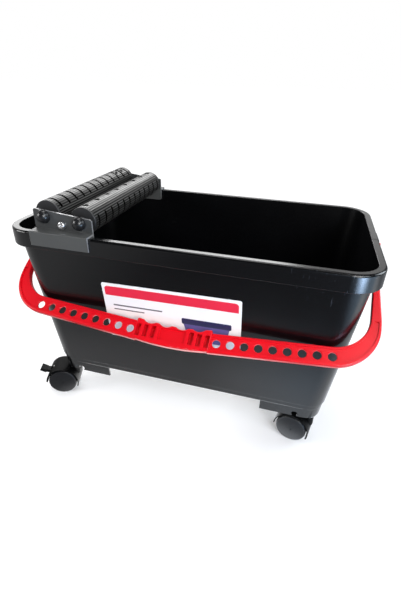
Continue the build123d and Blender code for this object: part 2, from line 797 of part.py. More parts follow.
# Domed nuts on the ends of the axles
half_way = sqrt(0.5)
with BuildPart() as dome_nuts:
    for x, z in roller_axles.values():
        for side in (-1, 1):
            middle_y = tub_y + side * plate_y
            with BuildSketch(Plane(origin=(x, middle_y, z), x_dir=(1, 0, 0), z_dir=(0, 0, 1))):
                with BuildLine():
                    Line((0, 0), (dome_diameter / 2, 0))
                    ThreePointArc(
                        (dome_diameter / 2, 0),
                        (dome_diameter / 2 * half_way, side * dome_height * half_way),
                        (0, side * dome_height),
                    )
                    Line((0, side * dome_height), (0, 0))
                make_face()
            revolve(axis=Axis((x, middle_y, z), (0, 1, 0)))
            with BuildSketch(front_view(middle_y)):
                with Locations((x, z)):
                    Circle(roller_axle_diameter / 2 + press_gap)
            extrude(amount=-side * (dome_thread_depth + side_gap), mode=Mode.SUBTRACT)
dome_nuts.part.label = "axle_dome_nuts"
export_step(dome_nuts.part, "parts/axle_dome_nuts.step")

# Casters: each is drawn in its own upright plane, from the stem along the way the wheel trails
for corner, (stem_x, stem_y) in caster_places.items():
    heading = radians(caster_headings[corner])
    trail = Vector(cos(heading), sin(heading), 0)
    across = Vector(sin(heading), -cos(heading), 0)
    caster = Plane(origin=(stem_x, stem_y, 0), x_dir=trail, z_dir=across)
    hub = (caster_trail, wheel_radius)
    hub_axis = Axis(caster.from_local_coords((caster_trail, wheel_radius, 0)), across)

    # Stem: pressed into its socket above, a flange, and the pintle that the hood turns on below
    with BuildPart() as stem:
        with BuildSketch(Plane(origin=(stem_x, stem_y, socket_z))):
            Circle(stem_diameter / 2)
        extrude(amount=stem_length)
        with BuildSketch(Plane(origin=(stem_x, stem_y, socket_z))):
            Circle(flange_diameter / 2)
        extrude(amount=-flange_thickness)
        with BuildSketch(Plane(origin=(stem_x, stem_y, socket_z - flange_thickness))):
            Circle(pintle_diameter / 2)
        extrude(amount=-pintle_length)
    stem.part.label = f"caster_{corner}_stem"
    export_step(stem.part, f"parts/caster_{corner}_stem.step")

    # Hood: a curved cover over both wheels, a web between them and the boss that takes the pintle
    half_width = wheel_spacing / 2 + wheel_width + hood_side
    with BuildPart() as hood:
        with BuildSketch(caster):
            with BuildLine():
                inside = CenterArc(hub, hood_inner_radius, 180 - hood_tail_tip, hood_tail_tip + hood_stem_tip)
                outside = CenterArc(hub, hood_radius, 180 - hood_tail_tip, hood_tail_tip + hood_stem_tip)
                Line(inside @ 0, outside @ 0)
                Line(inside @ 1, outside @ 1)
            make_face()
        extrude(amount=half_width, both=True)
        with BuildSketch(caster):
            with BuildLine():
                rim = CenterArc(hub, hood_inner_radius + hood_wall / 2, 0, 180)
                Line(rim @ 1, rim @ 0)
            make_face()
            with Locations(hub):
                Circle(hood_hub_diameter / 2)
        extrude(amount=hood_web / 2, both=True)
        with BuildSketch(Plane(origin=(stem_x, stem_y, pintle_boss_z))):
            Circle(pintle_boss_diameter / 2)
        extrude(amount=-pintle_length - hood_wall)
        with BuildSketch(Plane(origin=(stem_x, stem_y, pintle_boss_z))):
            Circle(pintle_diameter / 2 + running_gap)
        extrude(amount=-pintle_length, mode=Mode.SUBTRACT)
        with BuildSketch(caster):
            with Locations(hub):
                Circle(wheel_axle_diameter / 2 + press_gap)
        extrude(amount=half_width, both=True, mode=Mode.SUBTRACT)
        if corner in braked_casters:
            brake_pivot = (
                caster_trail + brake_pivot_radius * cos(radians(brake_pivot_angle)),
                wheel_radius + brake_pivot_radius * sin(radians(brake_pivot_angle)),
            )
            with BuildSketch(caster):
                with BuildLine():
                    low = CenterArc(hub, hood_inner_radius - cut_over, brake_slot_low, brake_slot_span)
                    high = CenterArc(hub, hood_radius + cut_over, brake_slot_low, brake_slot_span)
                    Line(low @ 0, high @ 0)
                    Line(low @ 1, high @ 1)
                make_face()
            extrude(amount=hood_web / 2 + brake_cheek + 2 * side_gap, both=True, mode=Mode.SUBTRACT)
            with BuildSketch(caster):
                with Locations(brake_pivot):
                    Circle(brake_pin_diameter / 2 + press_gap)
            extrude(amount=hood_web, both=True, mode=Mode.SUBTRACT)
    hood.part.label = f"caster_{corner}_hood"
    export_step(hood.part, f"parts/caster_{corner}_hood.step")

    # Axle through the web
    axle_half = wheel_spacing / 2 + wheel_width - cap_seat_depth - side_gap
    with BuildPart() as wheel_axle:
        with BuildSketch(caster):
            with Locations(hub):
                Circle(wheel_axle_diameter / 2)
        extrude(amount=axle_half, both=True)
    wheel_axle.part.label = f"caster_{corner}_axle"
    export_step(wheel_axle.part, f"parts/caster_{corner}_axle.step")

    # Wheels, open on the inside, each with a crowned cap in its outer face
    for side, hand in ((1, "left"), (-1, "right")):
        inner_plane = caster.offset(side * wheel_spacing / 2)
        outer_plane = caster.offset(side * (wheel_spacing / 2 + wheel_width))
        with BuildPart() as wheel:
            with BuildSketch(inner_plane):
                with Locations(hub):
                    Circle(wheel_radius)
            extrude(amount=side * wheel_width)
            fillet(wheel.edges(), wheel_edge_round)
            with BuildSketch(inner_plane):
                with Locations(hub):
                    Circle(wheel_radius - wheel_rim_thickness)
                    Circle(wheel_hub_diameter / 2, mode=Mode.SUBTRACT)
            pocket = wheel_width - cap_seat_depth - wheel_web_thickness
            extrude(amount=side * pocket, mode=Mode.SUBTRACT)
            with BuildSketch(outer_plane):
                with Locations(hub):
                    Circle(cap_diameter / 2 + press_gap)
            extrude(amount=-side * cap_seat_depth, mode=Mode.SUBTRACT)
            with BuildSketch(inner_plane):
                with Locations(hub):
                    Circle(wheel_axle_diameter / 2 + running_gap)
            extrude(amount=side * wheel_width, mode=Mode.SUBTRACT)
        wheel.part.label = f"caster_{corner}_wheel_{hand}"
        export_step(wheel.part, f"parts/caster_{corner}_wheel_{hand}.step")

        cap_radius = cap_diameter / 2
        cap_face = wheel_spacing / 2 + wheel_width
        crown_radius = (cap_radius**2 + cap_crown**2) / (2 * cap_crown)
        crown_middle = cap_face + cap_crown - crown_radius + sqrt(crown_radius**2 - cap_radius**2 / 4)
        with BuildPart() as wheel_cap:
            with BuildSketch(Plane(origin=hub_axis.position, x_dir=(0, 0, 1), z_dir=trail * side)):
                with BuildLine():
                    Polyline(
                        (0, cap_face + cap_crown),
                        (0, cap_face - cap_seat_depth),
                        (cap_radius, cap_face - cap_seat_depth),
                        (cap_radius, cap_face),
                    )
                    ThreePointArc(
                        (cap_radius, cap_face),
                        (cap_radius / 2, crown_middle),
                        (0, cap_face + cap_crown),
                    )
                make_face()
            revolve(axis=hub_axis)
        wheel_cap.part.label = f"caster_{corner}_cap_{hand}"
        export_step(wheel_cap.part, f"parts/caster_{corner}_cap_{hand}.step")

    # Brake: two cheeks on a pin through the web, and a paddle outside the hood
    if corner in braked_casters:
        paddle_radius = hood_radius + brake_reach
        with BuildPart() as brake_pin:
            with BuildSketch(caster):
                with Locations(brake_pivot):
                    Circle(brake_pin_diameter / 2)
            extrude(amount=hood_web / 2 + side_gap + brake_cheek, both=True)
        brake_pin.part.label = f"caster_{corner}_brake_pin"
        export_step(brake_pin.part, f"parts/caster_{corner}_brake_pin.step")

        lever_plane = Plane(
            origin=hub_axis.position,
            x_dir=trail * cos(radians(brake_angle)) + Vector(0, 0, sin(radians(brake_angle))),
            z_dir=across,
        )
        pivot_turn = radians(brake_pivot_angle - brake_angle)
        lever_pivot = (brake_pivot_radius * cos(pivot_turn), brake_pivot_radius * sin(pivot_turn))
        with BuildPart() as brake_lever:
            with BuildSketch(lever_plane):
                with BuildLine():
                    Polyline(
                        (lever_pivot[0], lever_pivot[1] - brake_arm_height / 2),
                        (paddle_radius, -brake_arm_height / 2),
                        (paddle_radius, brake_arm_height / 2),
                        (lever_pivot[0], lever_pivot[1] + brake_arm_height / 2),
                        close=True,
                    )
                make_face()
                with Locations(lever_pivot):
                    Circle(brake_arm_height / 2)
            extrude(amount=hood_web / 2 + side_gap + brake_cheek, both=True)
            with BuildSketch(lever_plane):
                with Locations((0, 0)):
                    Circle(hood_radius + side_gap)
            extrude(amount=hood_web / 2 + side_gap, both=True, mode=Mode.SUBTRACT)
            with BuildSketch(lever_plane):
                with Locations((paddle_radius + brake_paddle_length / 2, 0)):
                    Rectangle(brake_paddle_length, brake_paddle_height)
            extrude(amount=brake_paddle_width / 2, both=True)
            with BuildSketch(lever_plane):
                with Locations(lever_pivot):
                    Circle(brake_pin_diameter / 2 + running_gap)
            extrude(amount=wheel_spacing, both=True, mode=Mode.SUBTRACT)
        brake_lever.part.label = f"caster_{corner}_brake_lever"
        export_step(brake_lever.part, f"parts/caster_{corner}_brake_lever.step")
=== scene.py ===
import json
import math

import bmesh
import bpy
from mathutils import Matrix, Vector


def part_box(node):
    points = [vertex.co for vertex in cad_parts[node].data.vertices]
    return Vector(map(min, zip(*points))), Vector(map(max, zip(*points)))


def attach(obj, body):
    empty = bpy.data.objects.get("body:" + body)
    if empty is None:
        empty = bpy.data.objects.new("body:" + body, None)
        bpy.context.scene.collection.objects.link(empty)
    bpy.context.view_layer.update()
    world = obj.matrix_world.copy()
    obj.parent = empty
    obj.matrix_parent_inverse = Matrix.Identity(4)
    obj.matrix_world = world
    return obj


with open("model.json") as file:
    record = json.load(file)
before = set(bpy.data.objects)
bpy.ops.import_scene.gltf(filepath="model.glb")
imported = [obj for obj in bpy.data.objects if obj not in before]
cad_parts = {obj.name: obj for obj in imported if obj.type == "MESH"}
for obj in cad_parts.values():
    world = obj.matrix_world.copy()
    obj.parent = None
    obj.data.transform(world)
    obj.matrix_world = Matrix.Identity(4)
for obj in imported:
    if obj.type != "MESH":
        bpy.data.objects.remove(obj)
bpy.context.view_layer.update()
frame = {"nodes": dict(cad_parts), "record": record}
nodes = frame["nodes"]
mounts = {mount["name"]: mount for mount in frame["record"]["mounts"]}

# Places taken from the frame, in metres: the tub's middle line, its rim and its drafted walls
tub_low, tub_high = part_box("tub")
tub_y = mounts["tub_floor"]["pos_m"][1]
pad_raise = 0.0003
rim_z = tub_high.z - pad_raise
wall_draft = math.radians(5.5)
wall_slope = math.tan(wall_draft)
rim_shelf = 0.010
inner_half_width = (tub_high.y - tub_low.y) / 2 - rim_shelf

# Camera of the photograph
camera_right_of_middle = 0.14940
camera_before_tub = 0.55742
camera_over_rim = 0.18586
camera_azimuth = math.radians(15.005)
camera_elevation = math.radians(30.188)
camera_roll = math.radians(-1.454)
camera_lens = 22.915
camera_sensor = 36.0
camera_clip = 0.01


# Small helpers for node trees


class Tree:
    """Short calls to add nodes to a node tree."""

    def __init__(self, tree):
        self.tree = tree

    def add(self, kind, inputs=None, **settings):
        node = self.tree.nodes.new(kind)
        for key, value in settings.items():
            setattr(node, key, value)
        for key, value in (inputs or {}).items():
            self.put(value, node.inputs[key])
        return node

    def put(self, value, socket):
        """A plain value or another node's output, put into a socket."""
        if isinstance(value, bpy.types.NodeSocket):
            self.tree.links.new(value, socket)
        else:
            socket.default_value = value

    def math(self, operation, a, b=0.0):
        node = self.add("ShaderNodeMath", operation=operation)
        self.put(a, node.inputs[0])
        self.put(b, node.inputs[1])
        return node.outputs[0]

    def times(self, a, b):
        return self.math("MULTIPLY", a, b)

    def minus(self, a, b):
        return self.math("SUBTRACT", a, b)

    def larger(self, a, b):
        return self.math("MAXIMUM", a, b)

    def absolute(self, a):
        return self.math("ABSOLUTE", a)

    def distance(self, a, b):
        """How far two coordinates are from zero together."""
        squares = self.math("ADD", self.math("POWER", a, 2.0), self.math("POWER", b, 2.0))
        return self.math("SQRT", squares)

    def parts(self, vector):
        """The x, y and z of a vector."""
        return self.add("ShaderNodeSeparateXYZ", {"Vector": vector}).outputs

    def span(self, value, low, high, to_low=0.0, to_high=1.0):
        """Value moved from one range into another, and held there."""
        return self.add(
            "ShaderNodeMapRange",
            {"Value": value, "From Min": low, "From Max": high, "To Min": to_low, "To Max": to_high},
        ).outputs[0]

    def mix(self, factor, a, b):
        """One colour, or another where the factor is 1."""
        node = self.add("ShaderNodeMix", data_type="RGBA")
        self.put(factor, node.inputs[0])
        self.put(a, node.inputs[6])
        self.put(b, node.inputs[7])
        return node.outputs[2]

    def choose(self, factor, a, b):
        """One number, or another where the factor is 1."""
        node = self.add("ShaderNodeMix", data_type="FLOAT")
        self.put(factor, node.inputs[0])
        self.put(a, node.inputs[2])
        self.put(b, node.inputs[3])
        return node.outputs[0]

    def any_ray(self, *kinds):
        """1 where a ray is of one of these kinds."""
        rays = self.add("ShaderNodeLightPath").outputs
        seen = rays[kinds[0]]
        for kind in kinds[1:]:
            seen = self.larger(seen, rays[kind])
        return seen


class Shader(Tree):
    """A new material with one principled shader."""

    def __init__(self, name, color, roughness, metallic=0.0, specular=0.5):
        self.material = bpy.data.materials.new(name)
        self.material.use_nodes = True
        super().__init__(self.material.node_tree)
        self.out = self.tree.nodes["Principled BSDF"]
        self.set("Base Color", (*color, 1))
        self.set("Roughness", roughness)
        self.set("Metallic", metallic)
        self.set("Specular IOR Level", specular)
        self.coordinates = self.add("ShaderNodeTexCoord").outputs
        self.place = self.coordinates["Object"]

    def stretched(self, scale):
        """The surface's place, stretched by a factor on each axis."""
        return self.add("ShaderNodeMapping", {"Vector": self.place, "Scale": scale}).outputs[0]

    def noise(self, scale, detail=3.0, place=None):
        return self.add(
            "ShaderNodeTexNoise",
            {"Vector": place or self.place, "Scale": scale, "Detail": detail, "Roughness": noise_roughness},
        ).outputs["Fac"]

    def bump(self, height, strength, distance, normal=None):
        node = self.add("ShaderNodeBump", {"Height": height, "Strength": strength, "Distance": distance})
        if normal is not None:
            self.put(normal, node.inputs["Normal"])
        return node.outputs[0]

    def linked(self, name):
        """What feeds one of the shader's sockets so far."""
        return self.out.inputs[name].links[0].from_socket

    def set(self, name, value):
        self.put(value, self.out.inputs[name])


# Values that the materials share: the noise's roughness and the range most of it lies in, and dust
noise_roughness = 0.55
noise_low, noise_high = 0.3, 0.7
dust_scale = 420.0
dust_grey = (0.32, 0.32, 0.33, 1)


def tone(color, factor):
    """A colour made lighter or darker."""
    return (*(min(1.0, part * factor) for part in color), 1.0)


def moulded(
    name, color, roughness, grain=900.0, patch=14.0, vary=0.18, dust=0.0, specular=0.5, gloss=0.03
):
    """Moulded plastic or paint: fine grain, slow changes of tone and gloss, and dust where it is asked for."""
    shader = Shader(name, color, roughness, specular=specular)
    clouds = shader.span(shader.noise(patch, detail=4.0), noise_low, noise_high)
    tint = shader.mix(clouds, tone(color, 1 - vary), tone(color, 1 + vary))
    if dust:
        specks = shader.span(shader.noise(dust_scale, detail=6.0), 0.62, 0.78, 0.0, dust)
        tint = shader.mix(specks, tint, dust_grey)
    shader.set("Base Color", tint)
    dulled = shader.noise(patch * 3)
    shader.set("Roughness", shader.span(dulled, noise_low, noise_high, roughness - gloss, roughness + gloss))
    shader.set("Normal", shader.bump(shader.noise(grain, detail=2.0), 0.10, 0.0004))
    return shader


# Materials


def tub_plastic():
    """Satin black plastic with upright scratches and small scuffs below the rim's right front corner."""
    shader = moulded(
        "tub_plastic", (0.0017, 0.0018, 0.0022), 0.20, grain=700.0, patch=9.0, vary=0.22, gloss=0.015
    )
    scratch_stretch = (420.0, 420.0, 45.0)
    scuff_stretch = (160.0, 160.0, 300.0)
    worn_grey = (0.070, 0.080, 0.100, 1)
    x, y, z = shader.parts(shader.place)
    facing_y = shader.parts(shader.coordinates["Normal"])[1]
    outside = shader.math("LESS_THAN", facing_y, -0.3)
    front = shader.times(shader.span(y, tub_y - 0.09, tub_y - 0.11), outside)
    corner = shader.times(shader.span(x, 0.13, 0.20), front)
    below_rim = shader.span(z, rim_z - 0.080, rim_z - 0.010)
    upright = shader.noise(1.0, detail=2.0, place=shader.stretched(scratch_stretch))
    speckled = shader.noise(1.0, detail=6.0, place=shader.stretched(scuff_stretch))
    scratches = shader.span(upright, 0.67, 0.73, 0.0, 0.7)
    scuffs = shader.span(speckled, 0.65, 0.76, 0.0, 0.5)
    wear = shader.times(shader.larger(scratches, scuffs), shader.times(corner, below_rim))
    shader.set("Base Color", shader.mix(wear, shader.linked("Base Color"), worn_grey))
    return shader.material


def roller_plastic():
    """Dark plastic with lengthwise flutes, rubbed lighter and shinier along their crests, with painted shade
    near black in the grooves and holes.
    """
    shader = moulded("roller_plastic", (0.006, 0.0059, 0.0057), 0.32, grain=800.0, patch=18.0, vary=0.25)
    flute_count = 36.0
    crest_grey = (0.085, 0.082, 0.078, 1)
    painted_shade_black = (0.0012, 0.0012, 0.0012, 1)
    in_box = shader.parts(shader.coordinates["Generated"])
    across = shader.minus(in_box[0], 0.5)
    up = shader.minus(in_box[2], 0.5)
    turn = shader.math("ARCTAN2", up, across)
    flutes = shader.math("SINE", shader.times(turn, flute_count))
    streaks = shader.noise(260.0, detail=3.0, place=shader.stretched((1.0, 0.02, 1.0)))
    crests = shader.times(shader.span(flutes, -0.2, 0.9), shader.span(streaks, 0.35, 0.65, 0.15, 1.0))
    rubbed = shader.mix(crests, shader.linked("Base Color"), crest_grey)
    # Painted shade: near black and dull where the surface lies inside the outer radius, in the grooves and
    # holes.
    groove_painted_shade = shader.span(shader.distance(across, up), 0.480, 0.494, 1.0, 0.0)
    shine = shader.span(crests, 0.0, 0.8, 0.14, 0.95)
    shader.set("Base Color", shader.mix(groove_painted_shade, rubbed, painted_shade_black))
    shader.set("Roughness", shader.choose(groove_painted_shade, shader.linked("Roughness"), 0.85))
    shader.set("Specular IOR Level", shader.choose(groove_painted_shade, shine, 0.02))
    fluted = shader.bump(flutes, 0.16, 0.0005, shader.linked("Normal"))
    shader.set("Normal", shader.bump(streaks, 0.08, 0.0010, fluted))
    return shader.material


def bracket_paint():
    """Dark paint on sheet steel with dust specks, made lighter below the rim as painted reflected light, with
    bare metal on cut edges that face sideways or up, which also serves as a painted highlight.
    """
    shader = moulded(
        "bracket_paint", (0.042, 0.044, 0.045), 0.40, grain=500.0, patch=30.0, vary=0.3, dust=0.25
    )
    painted_light_grey = (0.080, 0.082, 0.080, 1)
    bare_steel_and_highlight = (0.42, 0.42, 0.43, 1)
    facing = shader.parts(shader.coordinates["Normal"])
    z = shader.parts(shader.place)[2]
    sideways = shader.math("GREATER_THAN", shader.absolute(facing[0]), 0.9)
    upwards = shader.math("GREATER_THAN", facing[2], 0.9)
    topmost = shader.times(upwards, shader.span(z, rim_z + 0.010, rim_z + 0.012))
    cut = shader.larger(sideways, topmost)
    # Painted light: the ledge and skirt below the rim are made lighter to stand in for the light they reflect.
    skirt_painted_light = shader.span(z, rim_z + 0.001, rim_z + 0.004, 0.8, 0.0)
    shader.set("Base Color", shader.mix(skirt_painted_light, shader.linked("Base Color"), painted_light_grey))
    # Bare metal on the cut edges, made lighter also as a painted highlight along them.
    wear_and_highlight = shader.times(cut, shader.span(shader.noise(160.0, detail=5.0), 0.36, 0.52, 0.25, 1.0))
    shader.set("Base Color", shader.mix(wear_and_highlight, shader.linked("Base Color"), bare_steel_and_highlight))
    shader.set("Metallic", shader.times(wear_and_highlight, 0.6))
    return shader.material


def steel(name, color, roughness):
    """Turned or plated steel, rubbed lengthwise."""
    shader = Shader(name, color, roughness, metallic=1.0)
    rub = shader.noise(90.0, detail=4.0, place=shader.stretched((1.0, 6.0, 6.0)))
    shader.set("Base Color", shader.mix(rub, tone(color, 0.8), tone(color, 1.12)))
    shader.set("Roughness", shader.span(rub, noise_low, noise_high, roughness - 0.08, roughness + 0.12))
    shader.set("Normal", shader.bump(shader.noise(1200.0), 0.06, 0.0003))
    return shader.material


def printed(name, color):
    """Ink on the label."""
    return moulded(name, color, 0.36, grain=1500.0, patch=25.0, vary=0.05).material


# Plain mouldings and paints: colour, roughness and what differs from the usual
plain = {
    "handle_plastic": (
        (0.69, 0.0018, 0.010), 0.30,
        dict(grain=600.0, patch=20.0, vary=0.05, specular=0.35, gloss=0.015),
    ),
    "label_sheet": ((0.94, 0.94, 0.94), 0.38, dict(grain=1500.0, patch=10.0, vary=0.02)),
    "pin_plastic": ((0.014, 0.014, 0.015), 0.30, dict(dust=0.1)),
    "tie_bar_paint": ((0.010, 0.010, 0.011), 0.40, dict(dust=0.15)),
    "end_cap_plastic": ((0.016, 0.016, 0.017), 0.46, dict(patch=40.0, vary=0.2)),
    "dome_plastic": ((0.011, 0.011, 0.012), 0.28, dict(grain=1400.0, dust=0.03)),
    "spacer_nylon": ((0.03, 0.03, 0.031), 0.45, dict()),
    "hood_plastic": (
        (0.0018, 0.0018, 0.0020), 0.42,
        dict(patch=40.0, vary=0.2, dust=0.02, specular=0.06),
    ),
    "wheel_plastic": ((0.005, 0.005, 0.006), 0.34, dict(patch=50.0, dust=0.06, specular=0.35)),
    "wheel_cap_plastic": ((0.0040, 0.0042, 0.0055), 0.38, dict(patch=60.0, dust=0.05, specular=0.24)),
    "lever_plastic": ((0.0018, 0.0018, 0.0020), 0.44, dict(patch=60.0, specular=0.12)),
}
materials = {
    "tub_plastic": tub_plastic(),
    "roller_plastic": roller_plastic(),
    "bracket_paint": bracket_paint(),
    "zinc_steel": steel("zinc_steel", (0.78, 0.78, 0.79), 0.26),
    "axle_steel": steel("axle_steel", (0.55, 0.55, 0.56), 0.34),
}
for slot, (color, roughness, finish) in plain.items():
    materials[slot] = moulded(slot, color, roughness, **finish).material
for subpart in frame["record"]["subparts"]:
    mesh = nodes[subpart["node"]].data
    mesh.materials.clear()
    mesh.materials.append(materials[subpart["material_slot"]])


# Extra pieces


def sheet_piece(name, outline, thickness, placement, material, body):
    """A thin flat piece from an outline in its own plane, standing out along that plane's normal."""
    mesh = bpy.data.meshes.new(name)
    shape = bmesh.new()
    face = shape.faces.new([shape.verts.new((x, y, 0)) for x, y in outline])
    raised = bmesh.ops.extrude_face_region(shape, geom=[face])["geom"]
    top = [item for item in raised if isinstance(item, bmesh.types.BMVert)]
    bmesh.ops.translate(shape, verts=top, vec=(0, 0, thickness))
    bmesh.ops.recalc_face_normals(shape, faces=shape.faces)
    shape.transform(placement)
    shape.to_mesh(mesh)
    shape.free()
    piece = bpy.data.objects.new(name, mesh)
    bpy.context.scene.collection.objects.link(piece)
    mesh.materials.append(material)
    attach(piece, body)


def rounded(left, bottom, right, top, radii, steps=6):
    """Outline of a rectangle with a radius for each corner, from bottom left round to top left."""
    corners = [(left, bottom, 1, 1), (right, bottom, -1, 1), (right, top, -1, -1), (left, top, 1, -1)]
    points = []
    for number, ((x, y, inward_x, inward_y), radius) in enumerate(zip(corners, radii)):
        if radius <= 0:
            points.append((x, y))
            continue
        centre_x = x + inward_x * radius
        centre_y = y + inward_y * radius
        start = math.radians(180 + 90 * number)
        for step in range(steps + 1):
            turn = start + math.radians(90) * step / steps
            points.append((centre_x + radius * math.cos(turn), centre_y + radius * math.sin(turn)))
    return points


def plane_matrix(origin, right, normal):
    """Placement of a plane: local x to the right, local z along its normal."""
    up = normal.cross(right)
    return Matrix.Translation(origin) @ Matrix((right, up, normal)).transposed().to_4x4()


# Print on the label: a header band, two rules and a plain tub shape, with no words
label_low, label_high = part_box("front_label")
label_tilt = math.radians(1.35)
label_length = 0.204
label_height = 0.097
label_thickness = 0.0003
label_normal = Vector((0, -math.cos(wall_draft), -math.sin(wall_draft)))
label_across = Vector((1, 0, 0))
label_right = Matrix.Rotation(label_tilt, 3, label_normal) @ label_across
label_face = (label_low + label_high) / 2 + label_normal * label_thickness / 2
label_plane = plane_matrix(label_face, label_right, label_normal)
print_thickness = 0.00012
half_length = label_length / 2
half_height = label_height / 2
band_inset = 0.0040
band_top, band_bottom = 0.0050, 0.0205
band_round = 0.005
band = rounded(
    -half_length + band_inset, half_height - band_bottom, half_length - band_inset, half_height - band_top,
    (0, 0, band_round, band_round),
)
tub_shape = [(0.026, -0.034), (0.079, -0.034), (0.086, -0.004), (0.019, -0.004)]
tub_rim_shape = rounded(0.0165, -0.004, 0.0885, 0.006, (0.002,) * 4)
long_rule = rounded(-0.088, 0.0105, -0.012, 0.0130, (0.001,) * 4)
short_rule = rounded(-0.088, 0.0035, -0.040, 0.0055, (0.0009,) * 4)
rule_grey = printed("label_grey", (0.16, 0.16, 0.18))
prints = [
    ("label_band", band, printed("label_red", (0.80, 0.022, 0.060))),
    ("label_tub", tub_shape, printed("label_blue", (0.11, 0.085, 0.30))),
    ("label_tub_rim", tub_rim_shape, printed("label_navy", (0.018, 0.022, 0.085))),
    ("label_rule_long", long_rule, rule_grey),
    ("label_rule_short", short_rule, rule_grey),
]
for name, outline, material in prints:
    sheet_piece(name, outline, print_thickness, label_plane, material, "tub")

# Level marks moulded on the inside of the back wall
back_normal = Vector((0, -math.cos(wall_draft), math.sin(wall_draft)))
mark_relief = 0.0006
gallon_left, gallon_right = 0.081, 0.113
gallon_drops = (0.0285, 0.0601, 0.0920)
gallon_top_figure = 6
litre_left, litre_right = -0.121, -0.105
litre_first, litre_pitch, litre_count = 0.0129, 0.00861, 10
litre_figure, litre_figure_mark = "20", 5
tick_height = 0.0016
tick_round = tick_height * 0.45
numeral_size = 0.0135


def back_wall(x, drop):
    """Plane on the inside of the back wall, this far below the rim."""
    y = tub_y + inner_half_width - drop * wall_slope
    return plane_matrix(Vector((x, y, rim_z - drop)), Vector((1, 0, 0)), back_normal)


def tick(name, left, right, drop):
    """A short raised bar."""
    half_width = (right - left) / 2
    half_tick = tick_height / 2
    outline = rounded(-half_width, -half_tick, half_width, half_tick, (tick_round,) * 4, 3)
    placement = back_wall((left + right) / 2, drop)
    sheet_piece(name, outline, mark_relief, placement, materials["tub_plastic"], "tub")


def numeral(name, digits, x, drop):
    """Raised figures, turned into a mesh on the wall."""
    curve = bpy.data.curves.new(name + "_curve", "FONT")
    curve.body = digits
    curve.size = numeral_size
    curve.extrude = mark_relief / 2
    curve.align_x = "CENTER"
    curve.align_y = "CENTER"
    source = bpy.data.objects.new(name + "_source", curve)
    mesh = bpy.data.meshes.new_from_object(source)
    bpy.data.objects.remove(source)
    mesh.transform(back_wall(x, drop) @ Matrix.Translation((0, 0, mark_relief / 2)))
    mesh.materials.clear()
    mesh.materials.append(materials["tub_plastic"])
    piece = bpy.data.objects.new(name, mesh)
    bpy.context.scene.collection.objects.link(piece)
    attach(piece, "tub")


for number, drop in enumerate(gallon_drops):
    tick(f"gallon_mark_{number}", gallon_left, gallon_right, drop)
    figure = str(gallon_top_figure - number)
    numeral(f"gallon_figure_{number}", figure, gallon_right + numeral_size, drop)
for number in range(litre_count):
    tick(f"litre_mark_{number}", litre_left, litre_right, litre_first + number * litre_pitch)
litre_drop = litre_first + litre_figure_mark * litre_pitch
numeral("litre_figure", litre_figure, litre_right + numeral_size, litre_drop)

# Floor: a pale sheet under the object, white to the camera, which keeps the object's shadow, adds painted
# shadow near it and glows in painted reflections
floor_size = 60.0
sheet_stretch = 1.5
sheet_near, sheet_far = 0.19, 0.40
sheet_pale = (0.70, 0.70, 0.71, 1)
sheet_dark = (0.10, 0.10, 0.105, 1)
# Painted reflections seen only by glossy rays: a bright strip under the handle and a bluish window patch
strip_near, strip_far = 0.118, 0.142
strip_level = 3.2
painted_shadow_reach = 0.040
window_blue = (0.55, 0.77, 1, 1)


def floor_material():
    """The floor's own colour, what it shows to the camera with painted shadow near the tub, and the painted
    reflections that the walls of the tub and other parts mirror.
    """
    shader = Shader("floor_white", (0.9, 0.9, 0.9), 0.9, specular=0.0)
    place = shader.parts(shader.place)
    x = place[0]
    y = place[1]
    off_middle = shader.minus(y, tub_y)
    reach = shader.distance(shader.math("DIVIDE", x, sheet_stretch), off_middle)
    outward = shader.span(reach, sheet_near, sheet_far)
    shader.set("Base Color", shader.mix(outward, sheet_pale, sheet_dark))

    # Painted shadow: the camera's glow is dimmed where the floor sees little open sky, around the casters and
    # feet.
    open_share_for_painted_shadow = shader.add("ShaderNodeAmbientOcclusion", {"Distance": painted_shadow_reach}, samples=16).outputs["AO"]
    # Painted shade: less glow near the tub right of its middle, so the floor reads darker beside the right
    # caster.
    painted_shade_right = shader.span(x, 0.07, 0.15, 0.46, 0.27)
    lifted = shader.span(reach, sheet_near, sheet_far, painted_shade_right, 1.0)
    shown_with_painted_shadow = shader.times(lifted, shader.span(open_share_for_painted_shadow, 0.20, 0.80, 0.2, 1.0))

    # Painted reflections: glows that only glossy rays see, a bluish window patch in front on the right, fields
    # at the sides and a bright strip under the handle, which put highlights on the tub, handle and casters.
    window = shader.times(shader.span(x, 0.0, 0.20), shader.span(y, -0.20, -0.10, 1.0, 0.25))
    inward = shader.span(reach, sheet_near, sheet_far, 1.0, 0.0)
    near = shader.times(inward, shader.span(window, 0.0, 1.0, 0.12, 1.3))
    right = shader.times(shader.span(x, 0.40, 0.65, 0.0, 2.0), shader.span(y, -0.10, 0.15, 1.0, 0.15))
    left = shader.span(x, -0.50, -0.20, 0.36, 0.0)
    strip = shader.span(shader.absolute(off_middle), strip_near, strip_far, strip_level, 0.0)
    below = shader.times(strip, shader.span(shader.absolute(x), 0.19, 0.25, 1.0, 0.0))
    mirrored = shader.larger(shader.larger(near, right), shader.larger(left, below))

    strength = shader.choose(
        shader.any_ray("Is Camera Ray"),
        shader.times(shader.any_ray("Is Glossy Ray", "Is Transmission Ray"), mirrored),
        shown_with_painted_shadow,
    )
    tint = shader.mix(shader.times(shader.any_ray("Is Glossy Ray"), window), (1, 1, 1, 1), window_blue)
    glow = shader.add("ShaderNodeEmission", {"Color": tint, "Strength": strength})
    both = shader.add("ShaderNodeAddShader")
    shader.put(shader.out.outputs[0], both.inputs[0])
    shader.put(glow.outputs[0], both.inputs[1])
    shader.put(both.outputs[0], shader.tree.nodes["Material Output"].inputs["Surface"])
    return shader.material


